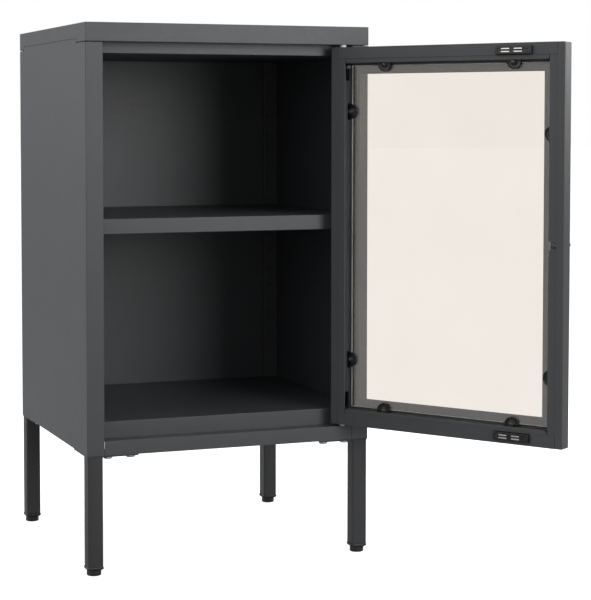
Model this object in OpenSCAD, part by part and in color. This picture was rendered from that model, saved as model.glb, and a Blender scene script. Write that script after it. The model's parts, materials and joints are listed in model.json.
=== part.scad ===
// Small free-standing steel side cabinet on four legs, with one glazed door
// hung on the right and one shelf on clips.
// Millimetres, +Z up, front towards -Y. The origin is the centre of the
// footprint, on the floor. The door is drawn open by door_open degrees.

/* [Cabinet] */
// Width over the side panels
body_w = 386; // [340:1:500]
// Depth over the front stiles and the rear stiles
body_d = 356; // [300:1:450]
// Height of the body, without its legs
body_h = 547; // [480:1:900]
// Height of the legs, feet included
leg_h = 153; // [110:1:250]
// Thickness of the folded steel sheet
sheet = 0.8; // [0.6:0.1:1.2]
// Width of the folded stile at each side of the door
stile_w = 23; // [20:0.5:30]
// Height of the rail under the door
rail_h = 19; // [16:0.5:30]
// Height of the cover's skirt
skirt_h = 24; // [20:0.5:40]
// Distance from the front face to the lips behind the door
lip_y = 22; // [21:0.5:30]

/* [Shelf] */
// Height of the shelf's top above the bottom of the body
shelf_z = 299; // [149:25:424]
// Height of the shelf's front and rear flanges
shelf_flange = 19.5; // [15:0.5:25]
// Distance between two slots of an upright
slot_pitch = 25; // [20:1:32]
// Number of slots in an upright
slot_count = 15; // [10:1:18]

/* [Door] */
// Angle that the door stands open
door_open = 124; // [0:1:134]
// Thickness of the door
door_t = 18; // [16:0.5:20]
// Gap at the top and the bottom of the door
door_gap_z = 3.3; // [3:0.1:5]
// Gap at the sides of the door
door_gap_x = 1.5; // [1:0.1:3]
// Width of the frame around the glass, seen from outside
face_w = 35; // [30:1:45]
// Thickness of the glass
glass_t = 4; // [3:0.5:5]
// Distance from the door's hinge end to the pivot's axis
pivot_in = 10; // [9:0.5:11]
// Distance from the door's outer face to the pivot's axis
pivot_y = 4.5; // [4.5:0.1:5]

/* [Legs] */
// Width of the square leg tube
leg_w = 20; // [18:1:30]
// Wall of the leg tube
leg_wall = 1.2; // [1:0.1:2]
// Size of the plate welded on the leg
plate_w = 67; // [60:1:90]
// Thickness of the plate
plate_t = 1.6; // [1.5:0.1:3]
// Diameter of the levelling foot
foot_d = 18.5; // [14:0.5:19]

/* [Hidden] */
$fn = 48;
// Clearance between two pieces that fit in each other
eps = 0.05;
// How far a cut runs past the face that it opens
over = 1;
steel = "#3d3f43";
steel_dark = "#2e3033";
black = "#17181a";
zinc = "#b9bcc0";
nylon = "#e9e9e4";
glass_tint = "#d8dcd488";

// Heights in the body, from its own bottom
floor_z = 40;
ceiling_z = 509;
skirt_z = body_h - skirt_h;
panel_gap = 0.8;
tab_rise = 5;
tab_front = 43;
tab_rear = 332;
back_y = 336;
upright_y = 331;
rear_stile_w = 21;
upright_w = 22;
upright_gap = 1.2;
upright_low = floor_z - 18;
upright_top = ceiling_z - 0.2;
flange_w = 21;
tray_gap = 2;
back_screw_x = [80, body_w / 2, body_w - 80];
back_screw_z = [20, ceiling_z + 20];
screw_r = 1.9;
screw_hole_r = 2;

// The door, closed, from its own lower free corner
door_w = body_w - 2 * stile_w - 2 * door_gap_x;
door_z = rail_h + door_gap_z;
door_h = skirt_z - door_gap_z - door_z;
door_x = stile_w + door_gap_x;
pivot_x = door_w - pivot_in;
stile_in = 21;
return_w = 10;
rail_flange = 15;
glass_edge = 23.7;
glass_y = sheet + eps;
mid_z = door_h / 2;

// Fittings of the door
clip_r = 10;
clip_t = 2.4;
clip_y = glass_y + glass_t + eps;
clip_in = 22.4;
clip_end_x = 75;
clip_z_hinge = [86, door_h - 84];
clip_z_free = [85, door_h - 112];
clip_screw_r = 1.2;
catch_x = 44;
catch_w = 49.5;
catch_h = 10.6;
catch_edge = 3.8;
catch_back = 8;
catch_screw_r = 1.45;
catch_face = lip_y - 0.5;
pole_w = 11.2;
pole_t = 1.4;
pole_row = 3.7;
pole_starts = [12.6, 30];
pole_mid = catch_edge + catch_h / 2;
pole_half = pole_row / 2 + pole_t / 2;
pole_back = 14;
knob_x = 13;
knob_l = 21;
knob_screw_r = 2;

// Hinge fittings
pin_r = 2;
pin_fit = 0.05;
bush_r = 3;
bush_flange_r = 4;
bush_flange = 3;
bush_l = 5;
window_h = 22;
tab_h = 4;
lower_bridge = 5;
tab_gap = 0.2;
spring_wire_r = 0.35;
spring_turns = 7;
spring_r = 2.7;
block_in = 3;
block_out = 19.8;
block_y0 = 2 * sheet + 0.1;
block_y1 = door_t - 2 * sheet - 0.2;

// Heights along the top pin, from the door's bottom
window_top = door_h - stile_in - 0.5;
window_low = window_top - window_h;
tab_top = window_top - 2.5;
tab_low = tab_top - tab_h;
spring_low = window_low + 1;
spring_high = tab_low;

// Leg fittings
leg_inset = [1, 0.5];
socket_h = 5;
foot_h = 7;
stem_r = 3.95;
stem_l = 24;
bolt_r = 2.95;
bolt_hole_r = 3.25;
bolt_head_r = 6;
bolt_head_h = 3.4;
nut_h = 5;
bolt_near = 30;
bolt_far = 60;
bolt_in = 10.5;

// ---- Helpers -----------------------------------------------------------

// A plain block between two corners
module block(low, high) {
    translate(low) cube(high - low);
}

// A rod along +Z
module rod(r, z0, z1) {
    translate([0, 0, z0]) cylinder(r = r, h = z1 - z0);
}

// A rod along +Y, from y0 to y1
module rod_y(r, y0, y1) {
    translate([0, y0, 0]) rotate([-90, 0, 0]) cylinder(r = r, h = y1 - y0);
}

// The cross that a screw's head is driven by, cut from y0 to y1
module cross_recess(reach, half, y0, y1) {
    block([-reach, y0, -half], [reach, y1, half]);
    block([-half, y0, -reach], [half, y1, reach]);
}

// Puts the body's lower front left corner in its place
module in_body() {
    translate([-body_w / 2, -body_d / 2, leg_h]) children();
}

// Turns a piece of the left side into its mirror image on the right
module on_side(right) {
    if (right) {
        translate([body_w, 0, 0]) mirror([1, 0, 0]) children();
    } else {
        children();
    }
}

// Turns a piece of the front into its mirror image at the rear
module at_rear(rear) {
    if (rear) {
        translate([0, body_d, 0]) mirror([0, 1, 0]) children();
    } else {
        children();
    }
}

// Puts a piece of the closed door on the door where it stands open
module in_door() {
    in_body()
        translate([door_x + pivot_x, pivot_y, door_z])
            rotate([0, 0, door_open])
                translate([-pivot_x, -pivot_y, 0])
                    children();
}

// ---- Body --------------------------------------------------------------

// The pan that closes the top. Its side skirts are cut higher in the middle.
module top_cover() {
    front_fold = 14;
    rear_fold = 17;
    color(steel) in_body() difference() {
        union() {
            difference() {
                block([0, 0, skirt_z], [body_w, body_d, body_h]);
                block([sheet, sheet, skirt_z - over], [body_w - sheet, body_d - sheet, body_h - sheet]);
            }
            block([sheet, sheet / 2, skirt_z], [body_w - sheet, front_fold, skirt_z + sheet]);
            block([sheet, body_d - rear_fold, skirt_z],
                  [body_w - sheet, body_d - sheet / 2, skirt_z + sheet]);
        }
        block([-over, tab_front, skirt_z - over], [body_w + over, tab_rear, skirt_z + tab_rise]);
        translate([door_x + pivot_x, pivot_y, 0])
            rod(bush_r + eps, skirt_z - over, skirt_z + sheet + over);
    }
}

// The tray under the cover, open upwards. Its front wall is the upper lip.
module ceiling_tray() {
    gap = 2.2;
    rear = back_y - 0.3;
    top = body_h - sheet - 0.2;
    color(steel) in_body() difference() {
        block([gap, lip_y, ceiling_z], [body_w - gap, rear, top]);
        block([gap + sheet, lip_y + sheet, ceiling_z + sheet],
              [body_w - gap - sheet, rear - sheet, top + over]);
        for (x = back_screw_x) {
            translate([x, 0, back_screw_z[1]]) rod_y(screw_hole_r, rear - sheet - over, rear + over);
        }
    }
}

// One folded side: sheet, front stile, rear stile, bottom flange and tongue
module side_panel(right) {
    top = skirt_z - panel_gap;
    tongue_gap = 0.15;
    tongue_in = 6;
    tongue_low = top - 20;
    tongue_top = body_h - 6;
    color(steel) in_body() on_side(right) difference() {
        union() {
            block([0, 0, 0], [sheet, body_d, top]);
            block([0, tab_front + panel_gap, 0], [sheet, tab_rear - panel_gap, top + tab_rise]);
            block([sheet / 2, tab_front + tongue_in, tongue_low],
                  [2 * sheet + tongue_gap, tab_rear - tongue_in, top - 0.5]);
            block([sheet + tongue_gap, tab_front + tongue_in, top - 1],
                  [2 * sheet + tongue_gap, tab_rear - tongue_in, tongue_top]);
            block([0, 0, 0], [stile_w, sheet, top]);
            block([stile_w - sheet, 0, 0], [stile_w, lip_y - 0.3, top]);
            block([0, body_d - sheet, 0], [rear_stile_w, body_d, top]);
            block([rear_stile_w - sheet, back_y + sheet + 0.2, 0], [rear_stile_w, body_d, top]);
            block([0, 0, 0], [rear_stile_w, body_d, sheet]);
        }
        for (rear = [false, true], y = [bolt_near, bolt_far]) {
            at_rear(rear) translate([bolt_in, y, 0]) rod(bolt_hole_r, -over, sheet + over);
        }
    }
}

// The slots and round holes that an upright is punched with
module punching(face_y) {
    slot_w = 9;
    slot_h = 3.5;
    slot_x = 15;
    hole_r = 2.3;
    below_shelf = 6;
    first_z = shelf_z - shelf_flange - below_shelf * slot_pitch;
    for (k = [0 : slot_count - 1]) {
        z = first_z + k * slot_pitch;
        block([slot_x - slot_w / 2, face_y - over, z - slot_h / 2],
              [slot_x + slot_w / 2, face_y + sheet + over, z + slot_h / 2]);
    }
    for (k = [0.5, slot_count - 4.5]) {
        translate([slot_x, 0, first_z + k * slot_pitch])
            rod_y(hole_r, face_y - over, face_y + sheet + over);
    }
}

// The channel behind a front stile. Its punched face looks to the rear.
module front_upright(right) {
    flange = 10;
    color(steel) in_body() on_side(right) difference() {
        union() {
            block([upright_gap, lip_y, upright_low], [upright_w, lip_y + sheet, upright_top]);
            block([upright_w - sheet - 0.2, lip_y - flange, upright_low],
                  [upright_w - 0.2, lip_y + sheet / 2, upright_top]);
        }
        punching(lip_y);
    }
}

// The channel in a rear corner. Its punched face looks to the front.
module rear_upright(right) {
    color(steel) in_body() on_side(right) difference() {
        block([upright_gap, upright_y, upright_low], [stile_w, back_y - 0.2, upright_top]);
        block([upright_gap + sheet, upright_y + sheet, upright_low - over],
              [stile_w - sheet, back_y + over, upright_top + over]);
        punching(upright_y);
    }
}

// A flat sheet against the rear flanges of the two trays
module back_panel() {
    side = 1.5;
    above = 4;
    color(steel_dark) in_body() difference() {
        block([side, back_y, sheet + 0.2], [body_w - side, back_y + sheet, body_h - above]);
        for (x = back_screw_x, z = back_screw_z) {
            translate([x, 0, z]) rod_y(screw_hole_r, back_y - over, back_y + sheet + over);
        }
    }
}

// Pan-head screws that hold the back panel to the trays
module back_screws() {
    head_r = 4;
    head_h = 2;
    shank = 8;
    color(zinc) in_body() for (x = back_screw_x, z = back_screw_z) {
        translate([x, back_y + sheet, z]) {
            rod_y(screw_r, -shank, eps);
            difference() {
                rotate([-90, 0, 0]) cylinder(r1 = head_r, r2 = head_r - 1.2, h = head_h);
                cross_recess(2.2, 0.45, head_h - 1.2, head_h + over);
            }
        }
    }
}

// The folded floor: flat, front lip, ledge, front rail and bottom flanges.
// Its rear corners are notched round the uprights.
module floor_tray() {
    front = lip_y + 1.2;
    rear = back_y - 0.3;
    between = stile_w + 0.2;
    side_h = 20;
    rear_rail_h = 12;
    notch_y = upright_y - 0.3;
    color(steel) in_body() difference() {
        union() {
            block([tray_gap, front, floor_z - sheet], [body_w - tray_gap, rear, floor_z]);
            for (x = [tray_gap, body_w - tray_gap - sheet]) {
                block([x, front, floor_z - side_h], [x + sheet, notch_y, floor_z]);
            }
            block([between, lip_y, floor_z - sheet], [body_w - between, lip_y + 3, floor_z]);
            block([between, lip_y, rail_h - sheet], [body_w - between, lip_y + sheet, floor_z]);
            block([between, 0, rail_h - sheet], [body_w - between, lip_y + sheet, rail_h]);
            block([between, 0, 0], [body_w - between, sheet, rail_h]);
            block([between, 0, 0], [body_w - between, flange_w, sheet]);
            block([between, rear - sheet, 0], [body_w - between, rear, floor_z]);
            block([between, rear - sheet, 0], [body_w - between, body_d, sheet]);
            block([between, body_d - sheet, 0], [body_w - between, body_d, rear_rail_h]);
        }
        for (right = [false, true]) on_side(right) {
            block([-over, notch_y, floor_z - side_h], [between, back_y + over, floor_z + over]);
        }
        translate([door_x + pivot_x, pivot_y, 0])
            rod(bush_r + eps, rail_h - sheet - over, rail_h + over);
        for (right = [false, true], back = [false, true], x = [bolt_near, bolt_far]) {
            on_side(right) at_rear(back) translate([x, bolt_in, 0])
                rod(bolt_hole_r, -over, sheet + over);
        }
        for (x = back_screw_x) {
            translate([x, 0, back_screw_z[0]]) rod_y(screw_hole_r, rear - sheet - over, rear + over);
        }
    }
}

// ---- Shelf -------------------------------------------------------------

// A pan turned upside down, with a fold inwards under its front and rear
module shelf() {
    side = 3;
    front = lip_y + 2;
    rear = upright_y - 1;
    low = shelf_z - shelf_flange;
    fold = 13;
    color(steel) in_body() difference() {
        block([side, front, low], [body_w - side, rear, shelf_z]);
        block([side + sheet, front + sheet, low + sheet],
              [body_w - side - sheet, rear - sheet, shelf_z - sheet]);
        block([side + sheet, front + fold, low - over],
              [body_w - side - sheet, rear - fold, low + sheet + over]);
    }
}

// The hat section glued under the shelf
module shelf_stiffener() {
    mid = (lip_y + upright_y + 1) / 2;
    high = shelf_z - sheet - eps;
    low = high - 14;
    ends = 12;
    half = 12;
    brim = 12;
    color(steel_dark) in_body() union() {
        block([ends, mid - half, low], [body_w - ends, mid + half, low + sheet]);
        for (y = [mid - half, mid + half - sheet]) {
            block([ends, y, low], [body_w - ends, y + sheet, high]);
        }
        for (y = [mid - half - brim, mid + half - sheet]) {
            block([ends, y, high - sheet], [body_w - ends, y + brim + sheet, high]);
        }
    }
}

// A bent clip that hangs in a slot of an upright and carries the shelf. It is
// drawn on an upright that looks to the rear, and turned round if forward.
module shelf_clip(face_y, forward) {
    x0 = 11.5;
    x1 = 18.5;
    thick = 1.4;
    seat = 14;
    hook = 1.9;
    low = shelf_z - shelf_flange - thick - 0.2;
    translate([0, face_y, 0]) mirror([0, forward ? 1 : 0, 0]) {
        block([x0, eps, low - 8], [x1, 1, low + thick]);
        block([x0, -hook, low], [x1, seat, low + thick]);
        block([x0, -hook, low - 5], [x1, 0.9 - hook, low + thick]);
    }
}

module shelf_clips() {
    color(zinc) in_body() {
        for (right = [false, true]) on_side(right) {
            shelf_clip(lip_y + sheet, false);
            shelf_clip(upright_y, true);
        }
    }
}

// ---- Legs --------------------------------------------------------------

// Puts a piece of the front left leg at one of the four corners
module at_corner(right, rear) {
    translate([-body_w / 2, -body_d / 2, 0]) on_side(right) at_rear(rear) children();
}

// Puts a piece on the axis of the front left leg
module leg_axis() {
    translate([leg_inset[0] + leg_w / 2, leg_inset[1] + leg_w / 2, 0]) children();
}

module leg_tube(right, rear) {
    inner = leg_w - 2 * leg_wall;
    corner = 1.5;
    color(steel) at_corner(right, rear) leg_axis()
        translate([0, 0, foot_h + socket_h])
            linear_extrude(leg_h - plate_t - foot_h - socket_h) difference() {
                union() {
                    square([leg_w - 2 * corner, leg_w], center = true);
                    square([leg_w, leg_w - 2 * corner], center = true);
                    for (x = [-1, 1], y = [-1, 1]) {
                        translate([x, y] * (leg_w / 2 - corner)) circle(corner);
                    }
                }
                square(inner, center = true);
            }
}

// The bolt positions of one leg plate
module leg_bolt_places() {
    for (along = [bolt_near, bolt_far]) {
        translate([along, bolt_in, 0]) children();
        translate([bolt_in, along, 0]) children();
    }
}

// The plate on a leg, with its inner corner cut off
module leg_plate(right, rear) {
    cut = plate_w - leg_w - 1;
    edge = 0.6;
    color(steel) at_corner(right, rear) difference() {
        translate([edge, edge, leg_h - plate_t]) linear_extrude(plate_t - 0.02)
            polygon([[0, 0], [plate_w, 0], [plate_w, leg_w],
                     [plate_w - cut, plate_w], [0, plate_w]]);
        leg_bolt_places() rod(bolt_hole_r, leg_h - plate_t - over, leg_h + over);
    }
}

// Bolts that go up through plate and body, with cross-recessed heads below
module leg_bolts() {
    under = leg_h - plate_t;
    past_nut = 2;
    color(zinc) for (right = [false, true], rear = [false, true]) {
        at_corner(right, rear) leg_bolt_places() difference() {
            union() {
                translate([0, 0, under - bolt_head_h])
                    cylinder(r1 = bolt_head_r - 1.4, r2 = bolt_head_r, h = bolt_head_h);
                rod(bolt_r, under - eps, leg_h + sheet + nut_h + past_nut);
            }
            translate([0, 0, under - bolt_head_h]) rotate([90, 0, 0])
                cross_recess(3.5, 0.6, -over, 1.6);
        }
    }
}

module leg_nuts() {
    across = 10;
    seat = leg_h + sheet + 0.02;
    color(zinc) for (right = [false, true], rear = [false, true]) {
        at_corner(right, rear) leg_bolt_places() difference() {
            translate([0, 0, seat]) cylinder(d = across / cos(30), h = nut_h, $fn = 6);
            rod(bolt_r + eps, seat - over, seat + nut_h + over);
        }
    }
}

// One stretch of an insert's collar: a rounded square at each end, blended
module collar(z0, w0, z1, w1) {
    slice = 0.1;
    round_r = 3;
    hull() {
        translate([0, 0, z0]) linear_extrude(slice)
            offset(round_r) square(w0 - 2 * round_r, center = true);
        translate([0, 0, z1 - slice]) linear_extrude(slice)
            offset(round_r) square(w1 - 2 * round_r, center = true);
    }
}

// The plastic insert of a leg: a plug in the tube and a swollen square collar
module leg_socket(right, rear) {
    plug_w = leg_w - 2 * leg_wall - 0.2;
    plug_l = 22;
    foot_seat_w = leg_w - 1.6;
    swell_w = leg_w + 2.2;
    swell_z = foot_h + 1.8;
    top = foot_h + socket_h;
    color(black) at_corner(right, rear) leg_axis() difference() {
        union() {
            collar(foot_h, foot_seat_w, swell_z, swell_w);
            collar(swell_z, swell_w, top, leg_w);
            translate([0, 0, top - 0.1]) linear_extrude(plug_l) square(plug_w, center = true);
        }
        rod(stem_r + eps, foot_h - over, top + plug_l + over);
    }
}

// A round foot with its threaded stem, which screws up into the insert
module foot(right, rear) {
    r = foot_d / 2;
    edge = 1.6;
    shoulder = 0.8;
    top = foot_h - 0.3;
    color(black) at_corner(right, rear) leg_axis() union() {
        rotate_extrude($fn = 64) {
            square([r - edge, top]);
            translate([0, edge]) square([r, top - edge - shoulder]);
            translate([0, edge]) square([r - shoulder, top - edge]);
            translate([r - edge, edge]) circle(edge, $fn = 32);
        }
        rod(stem_r, top - 0.1, foot_h + stem_l);
    }
}

// ---- Door --------------------------------------------------------------

// The outer sheet: face with its window, four edges and two side returns
module door_skin() {
    slit = 0.8;
    slit_l = 6;
    slit_d = 3;
    color(steel) in_door() difference() {
        block([0, 0, 0], [door_w, door_t, door_h]);
        block([sheet, sheet, sheet], [door_w - sheet, door_t - sheet, door_h - sheet]);
        block([face_w, -over, face_w], [door_w - face_w, sheet + over, door_h - face_w]);
        block([return_w, door_t - sheet - eps, sheet],
              [door_w - return_w, door_t + over, door_h - sheet]);
        for (x = [return_w, door_w - return_w], z = [-over, door_h - slit_l]) {
            block([x - slit / 2, door_t - slit_d, z],
                  [x + slit / 2, door_t + over, z + slit_l + over]);
        }
        translate([pivot_x, pivot_y, 0]) rod(pin_r + 0.3, -over, door_h + over);
        translate([knob_x, 0, mid_z]) rod_y(knob_screw_r + 0.2, -over, sheet + over);
    }
}

// A door stile, drawn at the free side: inner strip, reveal and foot flange
module stile_section() {
    low = 1;
    high = door_h - low;
    inside = door_t - sheet - 0.02;
    foot_w = 7;
    union() {
        block([low, door_t - 2 * sheet, low], [stile_in, inside, high]);
        block([stile_in - sheet, sheet + 0.02, low], [stile_in, inside, high]);
        block([stile_in - foot_w, sheet + 0.02, low], [stile_in, 2 * sheet, high]);
    }
}

// The opening in a reveal that lets a glass clip in, from x0 to x1
module clip_slot(x0, x1, z0, z1) {
    block([x0, clip_y - 1.5, z0], [x1, clip_y + 5.5, z1]);
}

// The openings in a stile for its two clips
module stile_clip_slots(heights) {
    for (z = heights) {
        clip_slot(stile_in - 7.5, stile_in + over, z - clip_r - 1, z + clip_r + 1);
        translate([clip_in, 0, z]) rod_y(clip_r + 0.5, clip_y - 0.4, clip_y + clip_t + 0.4);
    }
}

module door_stile_free() {
    notch = 5;
    notch_h = 11.2;
    color(steel) in_door() difference() {
        stile_section();
        stile_clip_slots(clip_z_free);
        block([stile_in - notch, 2 * sheet + 1, mid_z - notch_h / 2],
              [stile_in + over, door_t + over, mid_z + notch_h / 2]);
        translate([knob_x, 0, mid_z]) rod_y(knob_screw_r + 0.2, sheet, door_t + over);
    }
}

module door_stile_hinge() {
    window_y0 = 5.5;
    window_y1 = 15.4;
    corner = stile_in + 0.5;
    color(steel) in_door() translate([door_w, 0, 0]) mirror([1, 0, 0]) difference() {
        stile_section();
        stile_clip_slots(clip_z_hinge);
        for (z = [corner, door_h - corner - window_h]) {
            block([stile_in - 2, window_y0, z], [stile_in + over, window_y1, z + window_h]);
        }
    }
}

// A door rail, drawn at the bottom: flange, joggled lip, reveal and foot
module rail_section() {
    ends = return_w + 0.4;
    inner = stile_in + 0.3;
    lip_r = 4;
    foot_w = 8;
    slant = 5;
    union() {
        block([ends, door_t - sheet, sheet + 0.02], [door_w - ends, door_t, rail_flange]);
        translate([0, door_t - sheet, 0]) rotate([90, 0, 0]) linear_extrude(sheet) {
            translate([inner + lip_r, rail_flange - sheet])
                square([door_w - 2 * inner - 2 * lip_r, stile_in - rail_flange + sheet]);
            for (x = [inner + lip_r, door_w - inner - lip_r]) {
                translate([x, stile_in - lip_r]) circle(lip_r);
            }
            translate([inner, rail_flange - sheet])
                square([door_w - 2 * inner, stile_in - lip_r - rail_flange + sheet]);
        }
        block([inner + lip_r, sheet + 0.02, stile_in - sheet],
              [door_w - inner - lip_r, door_t - sheet, stile_in]);
        block([inner, sheet + 0.02, stile_in - sheet],
              [door_w - inner, door_t - slant, stile_in]);
        block([inner, sheet + 0.02, stile_in - foot_w], [door_w - inner, 2 * sheet, stile_in]);
    }
}

// The openings in a rail for its two glass clips and for the catch
module rail_cuts() {
    for (x = [clip_end_x, door_w - clip_end_x]) {
        clip_slot(x - clip_r - 1, x + clip_r + 1, stile_in - 8.5, stile_in + over);
    }
    block([catch_x - eps, door_t - sheet - over, catch_edge - eps],
          [catch_x + catch_w + eps, door_t + over, catch_edge + catch_h + eps]);
}

// Turns a piece of the door's bottom into its mirror image at the top
module at_door_top(top) {
    if (top) {
        translate([0, 0, door_h]) mirror([0, 0, 1]) children();
    } else {
        children();
    }
}

module door_rail(top) {
    color(steel) in_door() at_door_top(top) difference() {
        rail_section();
        rail_cuts();
    }
}

module glass_pane() {
    color(glass_tint) in_door()
        block([glass_edge, glass_y, glass_edge],
              [door_w - glass_edge, glass_y + glass_t, door_h - glass_edge]);
}

// The eight places of the glass clips: two on each side of the glass
module clip_places() {
    for (z = clip_z_free) translate([clip_in, clip_y, z]) children();
    for (z = clip_z_hinge) translate([door_w - clip_in, clip_y, z]) children();
    for (x = [clip_end_x, door_w - clip_end_x], z = [clip_in, door_h - clip_in]) {
        translate([x, clip_y, z]) children();
    }
}

// A dished round clip: a disc with a raised rim and a boss for its screw
module glass_clips() {
    floor_t = 1.2;
    rim = 1.6;
    rim_in = 0.6;
    boss_r = 4.2;
    color(black) in_door() clip_places() rotate([-90, 0, 0]) difference() {
        rotate_extrude() {
            square([clip_r, floor_t]);
            translate([clip_r - rim - rim_in, 0]) square([rim, clip_t]);
            square([boss_r, clip_t]);
        }
        rod(clip_screw_r + 0.1, -over, clip_t + over);
    }
}

module clip_screws() {
    head_r = 3;
    head_h = 1.6;
    color(black) in_door() clip_places() difference() {
        union() {
            rod_y(clip_screw_r, -glass_t - eps, clip_t + 0.1);
            translate([0, clip_t, 0]) rotate([-90, 0, 0])
                cylinder(r1 = head_r, r2 = head_r - 0.8, h = head_h);
        }
        cross_recess(1.6, 0.35, clip_t + head_h / 2, clip_t + head_h + over);
    }
}

// ---- Magnetic catches --------------------------------------------------

// The two holes of a catch for its screws
module catch_screw_places() {
    for (x = [catch_x + 4.6, catch_x + catch_w - 4.4]) {
        translate([x, 0, pole_mid]) children();
    }
}

module catch_body(top) {
    color(black) in_door() at_door_top(top) difference() {
        block([catch_x, catch_back, catch_edge], [catch_x + catch_w, catch_face, catch_edge + catch_h]);
        for (start = pole_starts) {
            block([catch_x + start - eps, pole_back - eps, pole_mid - pole_half - eps],
                  [catch_x + start + pole_w + eps, catch_face + over, pole_mid + pole_half + eps]);
        }
        catch_screw_places() rod_y(catch_screw_r + eps, catch_back - over, catch_face + over);
    }
}

// The steel pole plates, in pairs, whose edges show as bright bars
module catch_poles() {
    proud = 0.15;
    color(zinc) in_door() for (top = [false, true]) at_door_top(top) {
        for (start = pole_starts, side = [-1, 1]) {
            z = pole_mid + side * pole_row / 2;
            block([catch_x + start, pole_back, z - pole_t / 2],
                  [catch_x + start + pole_w, catch_face + proud, z + pole_t / 2]);
        }
    }
}

// The ferrite bars between the pole plates
module catch_magnets() {
    half = (pole_row - pole_t) / 2;
    color(black) in_door() for (top = [false, true]) at_door_top(top) {
        for (start = pole_starts) {
            block([catch_x + start, pole_back, pole_mid - half],
                  [catch_x + start + pole_w, catch_face - 0.3, pole_mid + half]);
        }
    }
}

module catch_screws() {
    sunk = 0.6;
    color(steel_dark) in_door() for (top = [false, true]) at_door_top(top) {
        catch_screw_places() difference() {
            rod_y(catch_screw_r, catch_back, catch_face - sunk);
            block([-1, catch_face - 2 * sunk, -0.25], [1, catch_face, 0.25]);
        }
    }
}

// ---- Knob --------------------------------------------------------------

// A slim turned knob on the outer face, waisted, with a domed end
module knob() {
    base_r = 4.5;
    base_h = 1.6;
    waist_r = 3.2;
    head_r = 4.4;
    head_l = 9;
    thread_l = 9;
    color(steel) in_door() translate([knob_x, 0, mid_z]) rotate([90, 0, 0]) difference() {
        rotate_extrude($fn = 64) {
            square([base_r, base_h]);
            square([waist_r, knob_l - 4]);
            polygon([[0, knob_l - head_l], [waist_r, knob_l - head_l],
                     [head_r, knob_l - head_l / 3], [head_r, knob_l - 1.2],
                     [head_r - 0.8, knob_l - 0.3], [head_r / 2, knob_l], [0, knob_l]]);
        }
        rod(knob_screw_r + eps, -over, thread_l);
    }
}

module knob_screw() {
    head_r = 2.75;
    head_h = 1.8;
    head_y = door_t - sheet;
    shank = 8;
    color(zinc) in_door() translate([knob_x, 0, mid_z]) difference() {
        union() {
            rod_y(knob_screw_r, -shank, head_y + 0.1);
            translate([0, head_y, 0]) rotate([-90, 0, 0])
                cylinder(r1 = head_r, r2 = head_r - 0.7, h = head_h);
        }
        cross_recess(head_h, 0.35, head_y + head_h / 2, head_y + head_h + over);
    }
}

// ---- Hinge fittings ----------------------------------------------------

// A block in the hinge stile: two bridges joined by a web at the door's edge
module hinge_block_shape() {
    web = 2.6;
    rear_web = 1.4;
    difference() {
        block([door_w - block_out, block_y0, spring_low - lower_bridge],
              [door_w - block_in, block_y1, door_h - sheet - 0.2]);
        block([door_w - block_out - over, -over, spring_low],
              [door_w - block_in - web, block_y1 - rear_web, tab_top + tab_gap]);
    }
}

module hinge_block_top() {
    color(black) in_door() difference() {
        hinge_block_shape();
        translate([pivot_x, pivot_y, 0]) rod(pin_r + pin_fit, 0, door_h);
    }
}

module hinge_block_bottom() {
    color(black) in_door() difference() {
        at_door_top(true) hinge_block_shape();
        translate([pivot_x, pivot_y, 0]) rod(pin_r + 0.02, -over, door_h / 2);
    }
}

// The sprung upper pin, its collar and the tab that draws it down
module hinge_pin_top() {
    collar_r = 3.6;
    reach = 12.4;
    tab_y = [1.8, 6.8];
    color(zinc) in_door() translate([pivot_x, pivot_y, 0]) union() {
        rod(pin_r, spring_low - lower_bridge + 1, door_h + door_gap_z + bush_l);
        rod(collar_r, tab_low, tab_top);
        block([-reach, tab_y[0], tab_low], [0, tab_y[1], tab_top]);
    }
}

// The fixed lower pin, with a head above its block
module hinge_pin_bottom() {
    low_window = door_h - window_top;
    head_r = 3.4;
    color(zinc) in_door() translate([pivot_x, pivot_y, 0]) union() {
        rod(pin_r, -door_gap_z - bush_l, low_window + 4);
        rod(head_r, low_window + 2.6, low_window + 5);
    }
}

// The coil spring under the tab: rings of wire swept along a helix
module pin_spring() {
    sides = 8;
    steps = 16;
    count = spring_turns * steps;
    rise = spring_high - spring_low - 2 * spring_wire_r - 0.1;
    points = [
        for (k = [0 : count]) for (s = [0 : sides - 1])
            let (turn = 360 * k / steps, a = 360 * s / sides, r = spring_r + spring_wire_r * cos(a))
            [r * cos(turn), r * sin(turn), rise * k / count + spring_wire_r * sin(a)]
    ];
    walls = [
        for (k = [0 : count - 1]) for (s = [0 : sides - 1])
            let (n = (s + 1) % sides)
            [k * sides + s, (k + 1) * sides + s, (k + 1) * sides + n, k * sides + n]
    ];
    start_cap = [[for (s = [0 : sides - 1]) s]];
    end_cap = [[for (s = [sides - 1 : -1 : 0]) count * sides + s]];
    color(zinc) in_door()
        translate([pivot_x, pivot_y, spring_low + spring_wire_r + 0.05])
            polyhedron(points, concat(start_cap, walls, end_cap), convexity = 10);
}

// A bent strip, U-shaped, that keeps the lower pin in its block
module pin_retainer() {
    outer_r = 4.2;
    inner_r = 2.8;
    leg_l = 11;
    thick = 1.4;
    bend_z = stile_in + 7.5;
    color(black) in_door()
        translate([door_w - block_out + 0.6, (block_y0 + block_y1) / 2 + 0.5, bend_z])
            rotate([90, 0, 90]) linear_extrude(thick) difference() {
                union() {
                    circle(outer_r);
                    translate([-outer_r, 0]) square([2 * outer_r, leg_l]);
                }
                circle(inner_r);
                translate([-inner_r, 0]) square([2 * inner_r, leg_l + over]);
            }
}

// Nylon bushes of the cabinet that the pins turn in
module bush(up) {
    mirror([0, 0, up ? 0 : 1]) difference() {
        union() {
            rod(bush_r, -eps, bush_l - 0.3);
            rod(bush_flange_r, -bush_flange, 0);
        }
        rod(pin_r + pin_fit, -bush_flange - over, bush_l + over);
    }
}

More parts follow.
